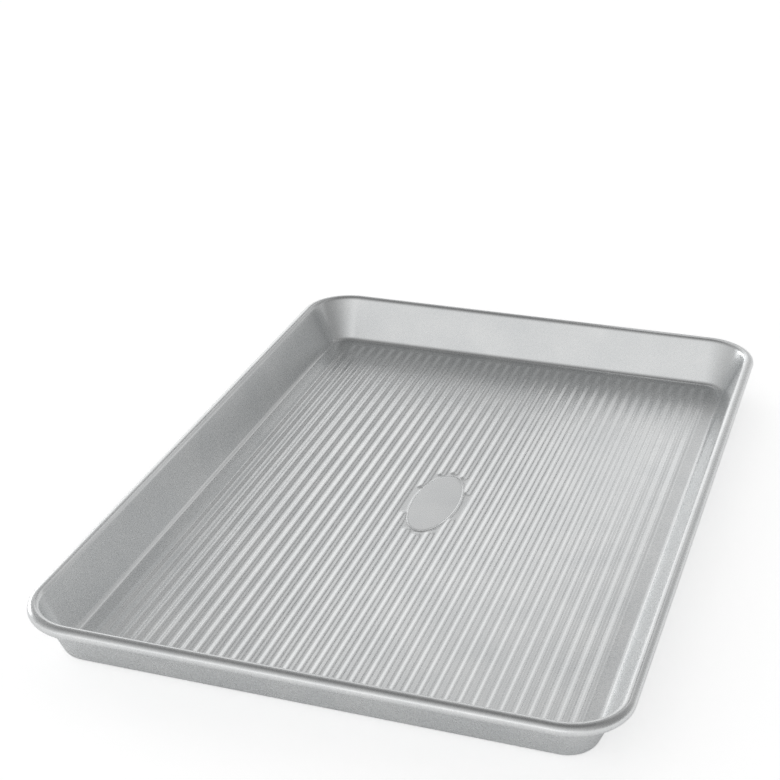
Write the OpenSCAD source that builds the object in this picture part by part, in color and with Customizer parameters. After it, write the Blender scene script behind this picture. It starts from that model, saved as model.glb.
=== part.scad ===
// Jelly roll pan: a shallow tray pressed from one sheet of coated steel.
// Raised ribs stiffen its floor, and its rim is curled round a steel wire.
// Units are millimetres. The origin is under the middle of the floor, +Z is up
// and the long sides run along Y.

/* [Overall] */
// Width over the rim
overall_w = 267; // [220:1:330]
// Length over the rim
overall_l = 391; // [320:1:470]
// Height from the table to the top of the rim
overall_h = 25; // [20:0.5:32]

/* [Sheet] */
// Thickness of the steel sheet
sheet_t = 0.8; // [0.6:0.05:1]
// Lean of the walls from upright, in degrees
wall_flare = 23.5; // [10:0.5:28]
// Inside radius of the bend from floor to wall
foot_bend_r = 3.2; // [2:0.1:5]
// Radius of the flat floor's corners, seen from above
floor_corner_r = 10.4; // [7:0.1:24]

/* [Rim] */
// Diameter of the wire in the rim
wire_d = 4.1; // [3:0.1:5]
// Gap all round between the wire and the curl
wire_clearance = 0.05; // [0.02:0.01:0.15]
// Gap between the curl's free edge and the wall
curl_gap = 0.2; // [0.1:0.05:0.5]
// Gap between the wire's two ends, where they butt
wire_butt_gap = 1; // [0.5:0.5:4]

/* [Ribs] */
// Distance from rib to rib
rib_pitch = 6; // [6:0.25:9]
// Width of a rib, foot to foot
rib_w = 5.6; // [4:0.1:5.8]
// Height of a rib above the floor
rib_h = 0.6; // [0.4:0.05:1.2]
// Flat border between the ribs and the bend
rib_border = 3; // [2:0.5:12]

/* [Middle pad] */
// Width of the plain oval pad
pad_w = 25; // [16:1:40]
// Length of the plain oval pad
pad_l = 61; // [40:1:90]
// Height of the pad above the floor
pad_h = 0.3; // [0.1:0.05:0.5]
// Height of the fine raised line round the pad, above the pad
pad_line_h = 0.15; // [0.05:0.05:0.3]
// Width of that line
pad_line_w = 1; // [0.6:0.1:2]
// Flat margin between the pad and the ribs' ends
pad_margin = 0.5; // [0.25:0.25:4]

/* [Hidden] */
$fn = 96;
// Angle of one step along the sheet's bends
arc_step = 7.5;
// How far added and cut shapes reach into or past the sheet
bite = 0.1;
// Steps in half a rib's section
wave_steps = 5;

// Bends of the sheet
foot_outer_r = foot_bend_r + sheet_t;
curl_inner_r = wire_d / 2 + wire_clearance;
curl_outer_r = curl_inner_r + sheet_t;
wall_normal = 180 - wall_flare;
curl_open = acos((curl_inner_r - curl_gap) / curl_outer_r);
curl_end = wall_normal - 360 + curl_open;

// The wire's centre, measured outwards from the foot bend's centre and up from the table
wire_z = overall_h - curl_outer_r;
wire_run = (foot_outer_r + curl_inner_r + (wire_z - foot_outer_r) * sin(wall_flare)) / cos(wall_flare);

// The corner axes stand where the flat floor's corner arcs have their centres
rim_run = floor_corner_r + wire_run + curl_outer_r;
axis_x = overall_w / 2 - rim_run;
axis_y = overall_l / 2 - rim_run;
floor_half_w = axis_x + floor_corner_r;
floor_half_l = axis_y + floor_corner_r;
wire_corner_r = floor_corner_r + wire_run;

// Places of the ribs, which all end at the same distance from the short walls
rib_end = floor_half_l - rib_border - rib_w / 2;
ribs_each_side = floor((floor_half_w - rib_border - rib_w / 2) / rib_pitch);
clear_half_w = pad_w / 2 + pad_margin;
clear_half_l = pad_l / 2 + pad_margin;

// Height of the pad's flat field, which is pressed up with the ribs
pad_top = sheet_t + pad_h;

function arc(centre, radius, from, to) =
    let (steps = max(2, ceil(abs(to - from) / arc_step)))
    [for (i = [0:steps])
        let (a = from + (to - from) * i / steps)
        centre + radius * [cos(a), sin(a)]];

function oval(half_w, half_l) = [for (a = [0:5:355]) [half_w * cos(a), half_l * sin(a)]];

// How far a rib at x stops short of the middle, to clear the pad
function pad_reach(x) =
    abs(x) < clear_half_w ? clear_half_l * sqrt(1 - pow(x / clear_half_w, 2)) + rib_w / 2 : 0;

// Crest line of a rib, from one of its steps to another, counted from its middle
function rib_wave(from, to) = [for (i = [from:to])
    [rib_w * i / (2 * wave_steps), rib_h * (1 + cos(180 * i / wave_steps)) / 2]];

// Section through floor, foot bend, wall and curl, with x = 0 on the corner axis
module sheet_section() {
    foot = [floor_corner_r, foot_outer_r];
    wire = [wire_corner_r, wire_z];
    polygon(concat(
        [[0, 0]],
        arc(foot, foot_outer_r, -90, -wall_flare),
        arc(wire, curl_inner_r, wall_normal, curl_end),
        arc(wire, curl_outer_r, curl_end, wall_normal),
        arc(foot, foot_bend_r, -wall_flare, -90),
        [[0, sheet_t]]
    ));
}

// One straight side: length along the side, out = distance of the corner axis from the middle
module side(length, out) {
    translate([out, length / 2, 0])
        rotate([90, 0, 0])
            linear_extrude(height = length)
                sheet_section();
}

module corner() {
    rotate_extrude(angle = 90)
        sheet_section();
}

// Both of a pair of opposite things: the second is the first turned half round
module pair() {
    for (turn = [0, 180])
        rotate([0, 0, turn])
            children();
}

module tray() {
    translate([-axis_x, -axis_y, 0])
        cube([2 * axis_x, 2 * axis_y, sheet_t]);
    pair() {
        side(2 * axis_y, axis_x);
        rotate([0, 0, 90])
            side(2 * axis_x, axis_y);
        translate([axis_x, axis_y, 0])
            corner();
        translate([-axis_x, axis_y, 0])
            rotate([0, 0, 90])
                corner();
    }
}

// Half or whole section of a rib that rises from the height foot and is filled down to bottom
module rib_section(foot, bottom, from) {
    wave = [for (p = rib_wave(from, wave_steps)) p + [0, foot]];
    polygon(concat([[wave[0].x, bottom]], wave, [[rib_w / 2, bottom]]));
}

// A rib with rounded ends, whose straight stretch runs from y = start to y = end
module rib(foot, bottom, start, end) {
    translate([0, end, 0])
        rotate([90, 0, 0])
            linear_extrude(height = end - start)
                rib_section(foot, bottom, -wave_steps);
    for (tip = [[start, 180], [end, 0]])
        translate([0, tip[0], 0])
            rotate([0, 0, tip[1]])
                rotate_extrude(angle = 180)
                    rib_section(foot, bottom, 0);
}

// All the ribs: added from the top of the sheet, then cut from its underside
module ribs(foot, bottom) {
    for (i = [-ribs_each_side:ribs_each_side]) {
        x = i * rib_pitch;
        reach = pad_reach(x);
        translate([x, 0, 0])
            if (reach > 0)
                pair() rib(foot, bottom, reach, rib_end);
            else
                rib(foot, bottom, -rib_end, rib_end);
    }
}

// An upright oval slice, whose edge lies inset inside the pad's outline
module pad_slice(bottom, top, inset) {
    translate([0, 0, bottom])
        linear_extrude(height = top - bottom)
            polygon(oval(pad_w / 2 - inset, pad_l / 2 - inset));
}

module pan_shell() {
    color("silver")
        difference() {
            union() {
                tray();
                ribs(sheet_t, bite);
                pad_slice(bite, pad_top + pad_line_h, 0);
            }
            ribs(0, -bite);
            pad_slice(pad_top, pad_top + pad_line_h + bite, pad_line_w);
            pad_slice(-bite, pad_h, sheet_t / 2);
        }
}

// A straight length of wire along Y
module wire_length(length) {
    rotate([90, 0, 0])
        cylinder(d = wire_d, h = length, center = true);
}

module wire_corner() {
    rotate_extrude(angle = 90)
        translate([wire_corner_r, 0])
            circle(d = wire_d);
}

// One wire bent to the rim's outline
module wire_loop() {
    pair() {
        translate([axis_x + wire_corner_r, 0, 0])
            wire_length(2 * axis_y);
        translate([0, axis_y + wire_corner_r, 0])
            rotate([0, 0, 90])
                wire_length(2 * axis_x);
        translate([axis_x, axis_y, 0])
            wire_corner();
        translate([-axis_x, axis_y, 0])
            rotate([0, 0, 90])
                wire_corner();
    }
}

// The wire's two ends butt in the middle of a short side
module rim_wire() {
    color("darkgray")
        translate([0, 0, wire_z])
            difference() {
                wire_loop();
                translate([0, axis_y + wire_corner_r, 0])
                    cube([wire_butt_gap, 2 * wire_d, 2 * wire_d], center = true);
            }
}

pan_shell();
rim_wire();
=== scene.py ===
# Jelly roll pan of aluminised steel, pressed from one sheet, with its rim curled round a wire.
# Blender works in metres. Sizes below are written in millimetres, as on the drawing.
import math

import bpy
from mathutils import Matrix, Vector


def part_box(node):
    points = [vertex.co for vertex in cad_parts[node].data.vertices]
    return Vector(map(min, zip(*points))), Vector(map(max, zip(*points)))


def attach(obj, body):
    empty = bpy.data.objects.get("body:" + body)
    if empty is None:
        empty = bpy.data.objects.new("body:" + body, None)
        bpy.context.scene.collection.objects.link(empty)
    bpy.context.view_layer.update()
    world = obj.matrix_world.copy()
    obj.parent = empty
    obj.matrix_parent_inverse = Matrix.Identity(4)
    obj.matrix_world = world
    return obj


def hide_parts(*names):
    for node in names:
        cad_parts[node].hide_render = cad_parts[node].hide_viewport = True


mm = 0.001

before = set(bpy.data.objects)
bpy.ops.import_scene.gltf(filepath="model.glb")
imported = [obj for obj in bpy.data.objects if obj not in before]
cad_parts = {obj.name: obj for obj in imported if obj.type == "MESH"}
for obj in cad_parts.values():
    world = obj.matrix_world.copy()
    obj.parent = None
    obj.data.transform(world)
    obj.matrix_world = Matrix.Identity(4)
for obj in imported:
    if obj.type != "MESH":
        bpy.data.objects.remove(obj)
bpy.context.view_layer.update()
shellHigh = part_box("pan_shell")[1]
print("stage: frame loaded")


# An sRGB hex colour as linear values with alpha
def linearColour(code):
    channels = [int(code[i:i + 2], 16) / 255 for i in (1, 3, 5)]
    return tuple(c / 12.92 if c <= 0.04045 else ((c + 0.055) / 1.055) ** 2.4 for c in channels) + (1.0,)


# Adds a node with its settings. An input given as a socket is linked, anything else is its value
def addNode(tree, kind, settings=None, inputs=None):
    node = tree.nodes.new(kind)
    for name, value in (settings or {}).items():
        setattr(node, name, value)
    for key, value in (inputs or {}).items():
        if isinstance(value, bpy.types.NodeSocket):
            tree.links.new(value, node.inputs[key])
        else:
            node.inputs[key].default_value = value
    return node


# Adds a math node for one operation on these values and gives its result
def calculate(tree, operation, *values):
    return addNode(tree, "ShaderNodeMath", {"operation": operation}, dict(enumerate(values))).outputs[0]


# Gives the length of a line that goes this far along X and this far along Y
def slantLength(tree, alongX, alongY):
    line = addNode(tree, "ShaderNodeCombineXYZ", {}, {0: alongX, 1: alongY}).outputs[0]
    return addNode(tree, "ShaderNodeVectorMath", {"operation": "LENGTH"}, {0: line}).outputs["Value"]


# A noise whose features are about this many millimetres across
def noise(tree, place, size, detail, roughness):
    return addNode(tree, "ShaderNodeTexNoise", {"noise_dimensions": "3D"}, {
        "Vector": place, "Scale": 1 / (size * mm), "Detail": detail, "Roughness": roughness}).outputs["Fac"]


def newMaterial(name):
    material = bpy.data.materials.new(name)
    material.use_nodes = True
    material.node_tree.nodes.clear()
    return material


# The plain oval pad between the ribs, with a fine raised line just inside its outline
pad = {
    "width": 25.0,
    "length": 61.0,
    "height": 0.3,
    "margin": 0.5,
    "edge": 0.8,
    "lineWidth": 1.0,
    "lineHeight": 0.15,
}

# Hot-dip aluminised steel: a bright satin grey. Its coating keeps a fine grain, which breaks
# a reflection up into small specks, and its roughness spreads each band of light softly
aluminisedLook = {
    "light": "#edeeee",
    "dark": "#e0e2e3",
    "roughness": 0.28,
    "roughnessSpread": 0.03,
    "grainSize": 1.1,
    "grainHeight": 0.012,
    "grainRange": (0.3, 0.7),
    "cloudSize": 26.0,
    "cloudShare": 0.4,
    "toneRange": (0.36, 0.64),
    "strokeSize": 0.7,
    "strokeStretch": 0.04,
    "strokeHeight": 0.004,
}


# How high the raised line stands at a point, in millimetres. The line follows the pad's oval, so it
# needs the distance inwards from the oval: the share still to go, times how far a share reaches here
def padLine(tree, place):
    here = addNode(tree, "ShaderNodeSeparateXYZ", {}, {0: place}).outputs
    padHalfWidth = pad["width"] * mm / 2
    padHalfLength = pad["length"] * mm / 2
    shareX = calculate(tree, "DIVIDE", here["X"], padHalfWidth)
    shareY = calculate(tree, "DIVIDE", here["Y"], padHalfLength)
    share = slantLength(tree, shareX, shareY)
    steepX = calculate(tree, "DIVIDE", shareX, padHalfWidth)
    steepY = calculate(tree, "DIVIDE", shareY, padHalfLength)
    steepness = slantLength(tree, steepX, steepY)
    reach = calculate(tree, "DIVIDE", share, steepness)
    safeReach = calculate(tree, "MAXIMUM", reach, padHalfWidth)
    short = calculate(tree, "SUBTRACT", 1.0, share)
    inward = calculate(tree, "MULTIPLY", short, safeReach)
    lineHalf = pad["lineWidth"] * mm / 2
    offLine = calculate(tree, "SUBTRACT", inward, lineHalf + pad["edge"] * mm / 2)
    aside = calculate(tree, "ABSOLUTE", offLine)

    # The line is on the upper face alone, which lies above the middle of the sheet
    midSheet = (sheet["thickness"] / 2 + pad["height"]) * mm
    onTop = calculate(tree, "GREATER_THAN", here["Z"], midSheet)
    ridge = addNode(tree, "ShaderNodeMapRange", {"interpolation_type": "SMOOTHSTEP"}, {
        "Value": aside, "From Min": lineHalf, "From Max": 0.0, "To Min": 0.0,
        "To Max": pad["lineHeight"]}).outputs[0]
    return calculate(tree, "MULTIPLY", ridge, onTop)


def aluminisedSteel():
    look = aluminisedLook
    material = newMaterial("aluminisedSteelSatin")
    tree = material.node_tree
    place = addNode(tree, "ShaderNodeTexCoord").outputs["Object"]
    grain = noise(tree, place, look["grainSize"], detail=3.0, roughness=0.6)
    cloud = noise(tree, place, look["cloudSize"], detail=2.0, roughness=0.5)
    tone = addNode(tree, "ShaderNodeMix", {"data_type": "FLOAT"}, {
        "Factor": look["cloudShare"], 2: grain, 3: cloud}).outputs[0]
    spread = addNode(tree, "ShaderNodeMapRange", {}, {
        "Value": tone, "From Min": look["toneRange"][0], "From Max": look["toneRange"][1]}).outputs[0]
    colour = addNode(tree, "ShaderNodeMix", {"data_type": "RGBA"}, {
        "Factor": spread, 6: linearColour(look["dark"]), 7: linearColour(look["light"])}).outputs[2]
    rough = addNode(tree, "ShaderNodeMapRange", {}, {
        "Value": grain, "From Min": look["grainRange"][0], "From Max": look["grainRange"][1],
        "To Min": look["roughness"] - look["roughnessSpread"],
        "To Max": look["roughness"] + look["roughnessSpread"]}).outputs[0]

    # Short strokes along the pan, where the sheet was rolled
    rolled = addNode(tree, "ShaderNodeMapping", {}, {
        "Vector": place, "Scale": (1.0, look["strokeStretch"], 1.0)}).outputs[0]
    stroke = noise(tree, rolled, look["strokeSize"], detail=2.0, roughness=0.5)

    # The grain, the strokes and the pad's line add up to one relief, in millimetres
    line = padLine(tree, place)
    strokes = calculate(tree, "MULTIPLY_ADD", stroke, look["strokeHeight"], line)
    relief = calculate(tree, "MULTIPLY_ADD", grain, look["grainHeight"], strokes)
    bump = addNode(tree, "ShaderNodeBump", {}, {
        "Strength": 1.0, "Distance": mm, "Height": relief}).outputs[0]
    shader = addNode(tree, "ShaderNodeBsdfPrincipled", {}, {
        "Base Color": colour, "Metallic": 1.0, "Roughness": rough, "Normal": bump})
    addNode(tree, "ShaderNodeOutputMaterial", {}, {"Surface": shader.outputs[0]})
    return material


# Drawn and galvanised steel wire: duller and bluer than the sheet, with a faint spangle
wireLook = {
    "light": "#a9adb1",
    "dark": "#8b9095",
    "roughness": 0.42,
    "spangleSize": 1.5,
    "spangleHeight": 0.02,
    "spangleStrength": 0.3,
}


def galvanisedWire():
    look = wireLook
    material = newMaterial("galvanisedSteelWire")
    tree = material.node_tree
    place = addNode(tree, "ShaderNodeTexCoord").outputs["Object"]
    spangle = noise(tree, place, look["spangleSize"], detail=4.0, roughness=0.65)
    colour = addNode(tree, "ShaderNodeMix", {"data_type": "RGBA"}, {
        "Factor": spangle, 6: linearColour(look["dark"]), 7: linearColour(look["light"])})
    bump = addNode(tree, "ShaderNodeBump", {}, {
        "Strength": look["spangleStrength"], "Distance": look["spangleHeight"] * mm, "Height": spangle})
    shader = addNode(tree, "ShaderNodeBsdfPrincipled", {}, {
        "Base Color": colour.outputs[2], "Metallic": 1.0, "Roughness": look["roughness"],
        "Normal": bump.outputs[0]})
    addNode(tree, "ShaderNodeOutputMaterial", {}, {"Surface": shader.outputs[0]})
    return material


# The sheet: sizes that the overall box doesn't give
sheet = {
    "thickness": 0.8,
    "wallLean": 23.5,
    "footBend": 3.2,
    "floorCorner": 10.4,
    "wire": 4.1,
    "wireClearance": 0.05,
    "curlGap": 0.2,
    "bendStep": 6.0,
    "cornerPoints": 20,
    "flatLip": 0.4,
    "wallPoints": (0.03, 0.5, 0.97),
    "weld": 0.01,
    "sharpAngle": 50.0,
}

lean = math.radians(sheet["wallLean"])
footCentreHeight = sheet["footBend"] * mm
curlInner = (sheet["wire"] / 2 + sheet["wireClearance"]) * mm
curlOuter = curlInner + sheet["thickness"] * mm
wireHeight = shellHigh.z - curlOuter - sheet["thickness"] * mm
footOuter = (sheet["footBend"] + sheet["thickness"]) * mm
wireRise = wireHeight - footCentreHeight
wireRun = (footOuter + curlInner + wireRise * math.sin(lean)) / math.cos(lean)
halfWidth = shellHigh.x - curlOuter - wireRun
halfLength = shellHigh.y - curlOuter - wireRun


# Points on an arc in the section, from one angle to another in degrees
def arcPoints(centre, radius, start, end):
    steps = max(2, math.ceil(abs(end - start) / sheet["bendStep"]))
    angles = [math.radians(start + (end - start) * i / steps) for i in range(steps + 1)]
    return [(centre[0] + radius * math.cos(a), centre[1] + radius * math.sin(a)) for a in angles]


# Upper face of the sheet from the floor's edge out to the curl's lip, above the floor's height
def sheetSection():
    flat = sheet["flatLip"] * mm
    foot = arcPoints((flat, footCentreHeight), sheet["footBend"] * mm, -90, -sheet["wallLean"])
    wallNormal = 180 - sheet["wallLean"]
    opening = math.degrees(math.acos((curlInner - sheet["curlGap"] * mm) / curlOuter))
    curl = arcPoints((flat + wireRun, wireHeight), curlOuter, wallNormal, wallNormal - 360 + opening)
    low, high = foot[-1], curl[0]
    wall = [
        (low[0] + (high[0] - low[0]) * share, low[1] + (high[1] - low[1]) * share)
        for share in sheet["wallPoints"]
    ]
    return [(0.0, 0.0)] + foot + wall + curl


def sectionCurve(points):
    curve = bpy.data.curves.new("sheetSection", "CURVE")
    spline = curve.splines.new("POLY")
    spline.points.add(len(points) - 1)
    for point, (across, up) in zip(spline.points, points):
        point.co = (across, -up, 0.0, 1.0)  # Curve to Mesh turns the section's Y downwards
    section = bpy.data.objects.new("sheetSection", curve)
    bpy.context.scene.collection.objects.link(section)
    return section


ribs = {
    "pitch": 6.0,
    "width": 5.6,
    "height": 0.6,
    "border": 3.0,
    "stepsAcross": 10,
    "rowsByPad": 36,
    "rowsAlong": 8,
    "rowsAtTip": 6,
}


# A tree whose inputs are the sheet's sizes and whose result is the sheet's upper face
def pressedSheetTree():
    tree = bpy.data.node_groups.new("pressedSheet", "GeometryNodeTree")
    tree.is_modifier = True
    sockets = [
        ("Floor Width", "Float"), ("Floor Length", "Float"), ("Corner Radius", "Float"),
        ("Corner Points", "Int"), ("Section", "Object"), ("Sheet Thickness", "Float"),
        ("Rib Pitch", "Float"), ("Rib Width", "Float"), ("Rib Height", "Float"), ("Rib End", "Float"),
        ("Field Width", "Float"), ("Field Half Length", "Float"),
        ("Columns", "Int"), ("Rows", "Int"), ("Pad Rows Share", "Float"), ("Straight Rows Share", "Float"),
        ("Pad Half Width", "Float"), ("Pad Half Length", "Float"), ("Pad Height", "Float"),
        ("Pad Margin", "Float"), ("Pad Edge", "Float"), ("Weld", "Float"), ("Steel", "Material"),
    ]
    for name, kind in sockets:
        tree.interface.new_socket(name=name, in_out="INPUT", socket_type="NodeSocket" + kind)
    tree.interface.new_socket(name="Geometry", in_out="OUTPUT", socket_type="NodeSocketGeometry")
    given = addNode(tree, "NodeGroupInput").outputs

    # Rows lie close together beside the pad and at the tips, and far apart where the ribs run straight.
    # The grid starts 2 long, so that Y is the share of a side's rows that lie nearer the middle
    grid = addNode(tree, "GeometryNodeMeshGrid", {}, {
        "Size X": given["Field Width"], "Size Y": 2.0,
        "Vertices X": given["Columns"], "Vertices Y": given["Rows"]})
    here = addNode(tree, "ShaderNodeSeparateXYZ", {}, {
        0: addNode(tree, "GeometryNodeInputPosition").outputs[0]}).outputs
    share = calculate(tree, "ABSOLUTE", here["Y"])
    padReach = calculate(tree, "ADD", given["Pad Half Length"], given["Rib Width"])
    straight = calculate(tree, "SUBTRACT", given["Rib End"], padReach)
    tip = calculate(tree, "SUBTRACT", given["Field Half Length"], given["Rib End"])
    byPad = addNode(tree, "ShaderNodeMapRange", {}, {
        "Value": share, "From Min": 0.0, "From Max": given["Pad Rows Share"], "To Max": padReach}).outputs[0]
    along = addNode(tree, "ShaderNodeMapRange", {}, {
        "Value": share, "From Min": given["Pad Rows Share"], "From Max": given["Straight Rows Share"],
        "To Max": straight}).outputs[0]
    atTip = addNode(tree, "ShaderNodeMapRange", {}, {
        "Value": share, "From Min": given["Straight Rows Share"], "From Max": 1.0, "To Max": tip}).outputs[0]
    reached = calculate(tree, "ADD", byPad, along)
    distance = calculate(tree, "ADD", reached, atTip)
    side = calculate(tree, "SIGN", here["Y"])
    rowY = calculate(tree, "MULTIPLY", distance, side)
    rowPlace = addNode(tree, "ShaderNodeCombineXYZ", {}, {0: here["X"], 1: rowY}).outputs[0]
    flatField = addNode(tree, "GeometryNodeSetPosition", {}, {
        "Geometry": grid.outputs["Mesh"], "Position": rowPlace}).outputs[0]

    # The rib that a point belongs to, and how far the point lies from that rib's middle line
    index = calculate(tree, "DIVIDE", here["X"], given["Rib Pitch"])
    nearest = calculate(tree, "ROUND", index)
    ribX = calculate(tree, "MULTIPLY", nearest, given["Rib Pitch"])
    offside = calculate(tree, "SUBTRACT", here["X"], ribX)
    farY = calculate(tree, "ABSOLUTE", here["Y"])
    beyond = calculate(tree, "SUBTRACT", farY, given["Rib End"])

    # A rib that would meet the pad starts where the oval, grown by the margin, lets it
    clearWidth = calculate(tree, "ADD", given["Pad Half Width"], given["Pad Margin"])
    clearLength = calculate(tree, "ADD", given["Pad Half Length"], given["Pad Margin"])
    across = calculate(tree, "DIVIDE", ribX, clearWidth)
    acrossSquare = calculate(tree, "MULTIPLY", across, across)
    inside = calculate(tree, "SUBTRACT", 1.0, acrossSquare)
    meets = calculate(tree, "GREATER_THAN", inside, 0.0)
    root = calculate(tree, "SQRT", inside)
    halfRib = calculate(tree, "DIVIDE", given["Rib Width"], 2.0)
    clearY = calculate(tree, "MULTIPLY_ADD", clearLength, root, halfRib)
    firstY = calculate(tree, "MULTIPLY", clearY, meets)
    short = calculate(tree, "SUBTRACT", firstY, farY)
    past = calculate(tree, "MAXIMUM", beyond, short)
    pastTip = calculate(tree, "MAXIMUM", past, 0.0)

    # A cosine wave across the rib, turned round at its tips
    apart = slantLength(tree, offside, pastTip)
    turn = addNode(tree, "ShaderNodeMapRange", {}, {
        "Value": apart, "From Min": 0.0, "From Max": halfRib, "To Max": math.pi}).outputs[0]
    wave = calculate(tree, "COSINE", turn)
    lifted = calculate(tree, "MULTIPLY_ADD", wave, 0.5, 0.5)
    ribHeight = calculate(tree, "MULTIPLY", lifted, given["Rib Height"])

    # The pad's edge rises over a short slope inside its outline
    ovalX = calculate(tree, "DIVIDE", here["X"], given["Pad Half Width"])
    ovalY = calculate(tree, "DIVIDE", here["Y"], given["Pad Half Length"])
    ovalShare = slantLength(tree, ovalX, ovalY)
    edgeShare = calculate(tree, "DIVIDE", given["Pad Edge"], given["Pad Half Width"])
    innerShare = calculate(tree, "SUBTRACT", 1.0, edgeShare)
    padHeight = addNode(tree, "ShaderNodeMapRange", {"interpolation_type": "SMOOTHSTEP"}, {
        "Value": ovalShare, "From Min": 1.0, "From Max": innerShare, "To Min": 0.0,
        "To Max": given["Pad Height"]}).outputs[0]
    height = calculate(tree, "MAXIMUM", ribHeight, padHeight)
    ribField = addNode(tree, "GeometryNodeSetPosition", {}, {
        "Geometry": flatField,
        "Offset": addNode(tree, "ShaderNodeCombineXYZ", {}, {2: height}).outputs[0]}).outputs[0]

    # The floor's outline, and the flat border between it and the ribbed field
    rectangle = addNode(tree, "GeometryNodeCurvePrimitiveQuadrilateral", {}, {
        "Width": given["Floor Width"], "Height": given["Floor Length"]}).outputs[0]
    outline = addNode(tree, "GeometryNodeFilletCurve", {"mode": "POLY"}, {
        "Curve": rectangle, "Count": given["Corner Points"], "Radius": given["Corner Radius"]}).outputs[0]
    loose = addNode(tree, "FunctionNodeCompare", {"data_type": "INT", "operation": "EQUAL"}, {
        2: addNode(tree, "GeometryNodeInputMeshEdgeNeighbors").outputs[0], 3: 1}).outputs[0]
    fieldEdge = addNode(tree, "GeometryNodeMeshToCurve", {}, {
        "Mesh": flatField, "Selection": loose}).outputs[0]
    rings = addNode(tree, "GeometryNodeJoinGeometry")
    tree.links.new(outline, rings.inputs[0])
    tree.links.new(fieldEdge, rings.inputs[0])
    border = addNode(tree, "GeometryNodeFillCurve", {}, {"Curve": rings.outputs[0]}).outputs[0]

    # The section runs round the outline as bend, wall and curl
    upright = addNode(tree, "GeometryNodeSetCurveNormal", {"mode": "Z_UP"}, {"Curve": outline}).outputs[0]
    section = addNode(tree, "GeometryNodeObjectInfo", {}, {"Object": given["Section"]}).outputs["Geometry"]
    wall = addNode(tree, "GeometryNodeCurveToMesh", {}, {
        "Curve": upright, "Profile Curve": section}).outputs[0]

    joined = addNode(tree, "GeometryNodeJoinGeometry")
    for part in (ribField, border, wall):
        tree.links.new(part, joined.inputs[0])
    welded = addNode(tree, "GeometryNodeMergeByDistance", {}, {
        "Geometry": joined.outputs[0], "Distance": given["Weld"]}).outputs[0]
    raised = addNode(tree, "GeometryNodeTransform", {}, {
        "Geometry": welded,
        "Translation": addNode(tree, "ShaderNodeCombineXYZ", {}, {
            2: given["Sheet Thickness"]}).outputs[0]}).outputs[0]
    smooth = addNode(tree, "GeometryNodeSetShadeSmooth", {}, {"Geometry": raised}).outputs[0]
    realized = addNode(tree, "GeometryNodeRealizeInstances", {}, {"Geometry": smooth}).outputs[0]
    painted = addNode(tree, "GeometryNodeSetMaterial", {}, {
        "Geometry": realized, "Material": given["Steel"]}).outputs[0]
    addNode(tree, "NodeGroupOutput", {}, {"Geometry": painted})
    return tree


# Runs a tree on an empty mesh with these inputs and returns the baked mesh
def bakeTree(tree, values):
    carrier = bpy.data.objects.new("carrier", bpy.data.meshes.new("carrier"))
    bpy.context.scene.collection.objects.link(carrier)
    modifier = carrier.modifiers.new("nodes", "NODES")
    modifier.node_group = tree
    for item in tree.interface.items_tree:
        if item.in_out == "INPUT":
            modifier[item.identifier] = values[item.name]
    graph = bpy.context.evaluated_depsgraph_get()
    mesh = bpy.data.meshes.new_from_object(carrier.evaluated_get(graph))
    bpy.data.objects.remove(carrier)
    return mesh


def makePan():
    section = sectionCurve(sheetSection())
    ribHalf = ribs["width"] * mm / 2
    ribEnd = halfLength - ribs["border"] * mm - ribHalf
    eachSide = math.floor((halfWidth - ribs["border"] * mm - ribHalf) / (ribs["pitch"] * mm))
    rowsEachSide = ribs["rowsByPad"] + ribs["rowsAlong"] + ribs["rowsAtTip"]
    flat = sheet["flatLip"] * mm
    mesh = bakeTree(pressedSheetTree(), {
        "Floor Width": 2 * (halfWidth - flat),
        "Floor Length": 2 * (halfLength - flat),
        "Corner Radius": sheet["floorCorner"] * mm - flat,
        "Corner Points": sheet["cornerPoints"],
        "Section": section,
        "Sheet Thickness": sheet["thickness"] * mm,
        "Rib Pitch": ribs["pitch"] * mm,
        "Rib Width": ribs["width"] * mm,
        "Rib Height": ribs["height"] * mm,
        "Rib End": ribEnd,
        "Field Width": (2 * eachSide + 1) * ribs["pitch"] * mm,
        "Field Half Length": ribEnd + ribHalf,
        "Columns": (2 * eachSide + 1) * ribs["stepsAcross"] + 1,
        "Rows": 2 * rowsEachSide + 1,
        "Pad Rows Share": ribs["rowsByPad"] / rowsEachSide,
        "Straight Rows Share": (ribs["rowsByPad"] + ribs["rowsAlong"]) / rowsEachSide,
        "Pad Half Width": pad["width"] * mm / 2,
        "Pad Half Length": pad["length"] * mm / 2,
        "Pad Height": pad["height"] * mm,
        "Pad Margin": pad["margin"] * mm,
        "Pad Edge": pad["edge"] * mm,
        "Weld": sheet["weld"] * mm,
        "Steel": sheetSteel,
    })
    bpy.data.objects.remove(section)
    mesh.name = "panShell"
    pan = bpy.data.objects.new("panShell", mesh)
    bpy.context.scene.collection.objects.link(pan)
    thickness = pan.modifiers.new("sheetThickness", "SOLIDIFY")
    thickness.thickness = sheet["thickness"] * mm
    thickness.offset = -1.0
    thickness.use_even_offset = True
    thickness.use_rim = True
    graph = bpy.context.evaluated_depsgraph_get()
    solid = bpy.data.meshes.new_from_object(pan.evaluated_get(graph))
    pan.modifiers.clear()
    pan.data = solid
    bpy.data.meshes.remove(mesh)
    solid.name = "panShell"
    solid.set_sharp_from_angle(angle=math.radians(sheet["sharpAngle"]))
    return pan


sheetSteel = aluminisedSteel()
wireSteel = galvanisedWire()
print("stage: materials made")

panShell = makePan()
print("stage: sheet pressed,", len(panShell.data.polygons), "faces")

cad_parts["rim_wire"].data.materials.clear()
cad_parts["rim_wire"].data.materials.append(wireSteel)


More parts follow.
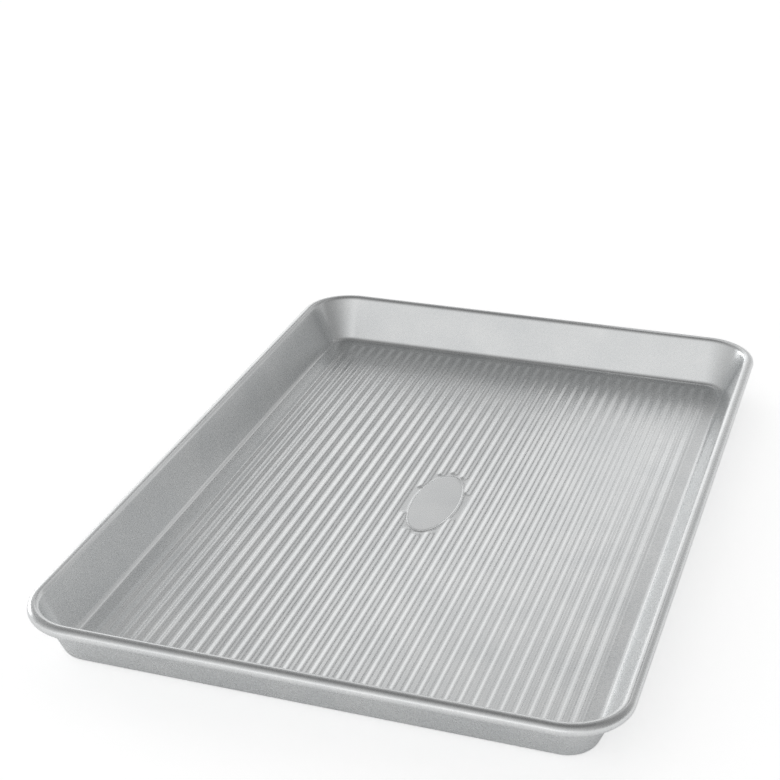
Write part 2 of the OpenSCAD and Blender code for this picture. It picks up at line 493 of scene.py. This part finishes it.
# A plain white table. Its own light keeps it white in the picture and bright in the steel, but less
# so in the pan's shade. Its size and the shade's reach are in metres
stage = {
    "floorSize": 4.0,
    "floorColour": "#eeeeee",
    "shadeReach": 0.3,
    "shadeSamples": 8,
    "cameraLight": 0.66,
    "cameraShade": 0.2,
    "mirroredLight": 0.47,
}


def whiteTable():
    material = newMaterial("whitePaperSweep")
    tree = material.node_tree
    path = addNode(tree, "ShaderNodeLightPath").outputs
    seen = calculate(tree, "MAXIMUM", path["Is Camera Ray"], path["Is Transmission Ray"])
    openSky = addNode(tree, "ShaderNodeAmbientOcclusion", {"samples": stage["shadeSamples"]}, {
        "Distance": stage["shadeReach"]}).outputs["AO"]
    shaded = addNode(tree, "ShaderNodeMapRange", {}, {
        "Value": openSky, "To Min": stage["cameraLight"] * (1 - stage["cameraShade"]),
        "To Max": stage["cameraLight"]}).outputs[0]
    straight = calculate(tree, "MULTIPLY", seen, shaded)
    mirrored = calculate(tree, "MULTIPLY", path["Is Glossy Ray"], stage["mirroredLight"])
    lift = calculate(tree, "MULTIPLY_ADD", mirrored, openSky, straight)
    paper = addNode(tree, "ShaderNodeBsdfDiffuse", {}, {"Color": linearColour(stage["floorColour"])})
    glow = addNode(tree, "ShaderNodeEmission", {}, {"Strength": lift})
    both = addNode(tree, "ShaderNodeAddShader", {}, {0: paper.outputs[0], 1: glow.outputs[0]})
    addNode(tree, "ShaderNodeOutputMaterial", {}, {"Surface": both.outputs[0]})
    return material


def makeFloor():
    half = stage["floorSize"] / 2
    mesh = bpy.data.meshes.new("floor")
    corners = [(-half, -half, 0), (half, -half, 0), (half, half, 0), (-half, half, 0)]
    mesh.from_pydata(corners, [], [(0, 1, 2, 3)])
    mesh.materials.append(whiteTable())
    floor = bpy.data.objects.new("floor", mesh)
    bpy.context.scene.collection.objects.link(floor)


# Studio surroundings: a bright wall that darkens upwards, three soft lamps and two dark gaps on it
# behind the pan, and one strong light low on the left. Each of the levels is degrees up and its
# brightness. Directions are degrees from +Y towards +X and degrees up, and widths are degrees
studio = {
    "levels": [(0, 1.02), (20, 0.62), (28, 0.62), (36, 0.48), (52, 0.42), (78, 0.2)],
    "left": 0.7,
    "right": 0.44,
    "front": 1.45,
    "lamps": [
        {"direction": (-33.0, 16.5), "width": 11.0, "level": 0.65},
        {"direction": (-14.5, 31.5), "width": 8.0, "level": 0.5},
        {"direction": (5.0, 38.5), "width": 7.5, "level": 0.38},
    ],
    "gaps": [
        {"direction": (-7.8, 33.5), "width": 7.0, "level": -0.85},
        {"direction": (-31.0, 37.0), "width": 8.0, "level": -0.35},
    ],
    "key": {"direction": (-61.5, 1.0), "width": 15.0, "level": 3.75},
    "softEdge": (1.6, 0.4),
}


def makeWorld():
    world = bpy.data.worlds.new("studio")
    world.use_nodes = True
    tree = world.node_tree
    tree.nodes.clear()
    direction = addNode(tree, "ShaderNodeTexCoord").outputs["Generated"]
    toward = addNode(tree, "ShaderNodeSeparateXYZ", {}, {0: direction}).outputs

    ramp = addNode(tree, "ShaderNodeValToRGB", {}, {"Fac": toward["Z"]})
    elements = ramp.color_ramp.elements
    elements.remove(elements[1])
    for number, (elevation, level) in enumerate(studio["levels"]):
        height = math.sin(math.radians(elevation))
        element = elements.new(height) if number else elements[0]
        element.color = (level, level, level, 1.0)

    # Each side's level grows in with the direction's share along that side
    light = ramp.outputs[0]
    sides = [("X", -1, studio["left"]), ("X", 1, studio["right"]), ("Y", -1, studio["front"])]
    for axis, sign, level in sides:
        turned = calculate(tree, "MULTIPLY", toward[axis], sign)
        share = calculate(tree, "MAXIMUM", turned, 0.0)
        factor = calculate(tree, "MULTIPLY_ADD", share, level - 1, 1.0)
        light = calculate(tree, "MULTIPLY", light, factor)

    # A soft round patch of the surroundings. It begins and is full at the soft edge's shares of its width
    def patch(look):
        turn, lift = (math.radians(angle) for angle in look["direction"])
        middle = (math.sin(turn) * math.cos(lift), math.cos(turn) * math.cos(lift), math.sin(lift))
        near = addNode(tree, "ShaderNodeVectorMath", {"operation": "DOT_PRODUCT"}, {
            0: direction, 1: middle}).outputs["Value"]
        away = calculate(tree, "ARCCOSINE", near)
        outer, inner = (math.radians(look["width"] * share) for share in studio["softEdge"])
        return addNode(tree, "ShaderNodeMapRange", {"interpolation_type": "SMOOTHSTEP"}, {
            "Value": away, "From Min": outer, "From Max": inner, "To Max": look["level"]}).outputs[0]

    for lamp in studio["lamps"]:
        light = calculate(tree, "ADD", light, patch(lamp))
    for gap in studio["gaps"]:
        kept = calculate(tree, "ADD", patch(gap), 1.0)
        light = calculate(tree, "MULTIPLY", light, kept)
    light = calculate(tree, "ADD", light, patch(studio["key"]))

    # The camera itself sees plain white behind the table
    seen = addNode(tree, "ShaderNodeLightPath").outputs["Is Camera Ray"]
    strength = addNode(tree, "ShaderNodeMix", {"data_type": "FLOAT"}, {
        "Factor": seen, 2: light, 3: 1.0}).outputs[0]
    back = addNode(tree, "ShaderNodeBackground", {}, {"Color": (1.0, 1.0, 1.0, 1.0), "Strength": strength})
    addNode(tree, "ShaderNodeOutputWorld", {}, {"Surface": back.outputs[0]})
    bpy.context.scene.world = world


# Two soft boxes stand close behind the pan and light the middle and the right of its floor.
# Their edges, and their place behind the pan's middle, are in millimetres
softBoxes = [
    {"left": -35.0, "right": 57.0, "low": 214.0, "high": 390.0, "level": 0.35},
    {"left": 32.0, "right": 128.0, "low": 57.0, "high": 240.0, "level": 0.28},
]
softBoxPlace = 250.0


def makeSoftBoxes():
    for number, look in enumerate(softBoxes, 1):
        width = (look["right"] - look["left"]) * mm
        height = (look["high"] - look["low"]) * mm
        name = "softBox" + str(number)
        data = bpy.data.lights.new(name, "AREA")
        data.shape = "RECTANGLE"
        data.size = width
        data.size_y = height
        data.energy = look["level"] * math.pi * width * height  # Power for this brightness and size
        lamp = bpy.data.objects.new(name, data)
        lamp.location = (
            (look["left"] + look["right"]) / 2 * mm,
            softBoxPlace * mm,
            (look["low"] + look["high"]) / 2 * mm,
        )
        lamp.rotation_euler = (math.radians(-90), 0.0, 0.0)  # Faces the pan
        lamp.visible_camera = False
        bpy.context.scene.collection.objects.link(lamp)


# The view of the photograph: a long lens, from the right and above. The place is in millimetres, the
# turns are radians, and the lens's length and middle are in the picture's pixels
view = {
    "place": (220.556, -734.200, 428.552),
    "yaw": -0.350273,
    "pitch": 0.443614,
    "roll": -0.018610,
    "focalPixels": 1735.137,
    "centreX": 344.577,
    "picture": 780.0,
    "sensor": 36.0,
    "nearest": 10.0,
}


def makeCamera():
    data = bpy.data.cameras.new("camera")
    data.sensor_width = view["sensor"]
    data.lens = view["focalPixels"] / view["picture"] * view["sensor"]
    data.shift_x = 0.5 - view["centreX"] / view["picture"]
    data.clip_start = view["nearest"] * mm
    camera = bpy.data.objects.new("camera", data)
    yaw, pitch, roll = view["yaw"], view["pitch"], view["roll"]
    forward = Vector((math.sin(yaw) * math.cos(pitch), math.cos(yaw) * math.cos(pitch), -math.sin(pitch)))
    right = forward.cross(Vector((0, 0, 1))).normalized()
    up = right.cross(forward)
    turnedRight = right * math.cos(roll) + up * math.sin(roll)
    turnedUp = up * math.cos(roll) - right * math.sin(roll)
    turn = Matrix((turnedRight, turnedUp, -forward)).transposed()
    camera.matrix_world = Matrix.Translation(Vector(view["place"]) * mm) @ turn.to_4x4()
    bpy.context.scene.collection.objects.link(camera)
    bpy.context.scene.camera = camera


makeFloor()
makeWorld()
makeSoftBoxes()
makeCamera()
bpy.context.scene.view_settings.view_transform = "Standard"
print("stage: table, light and camera set")

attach(panShell, "root")
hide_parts("pan_shell")
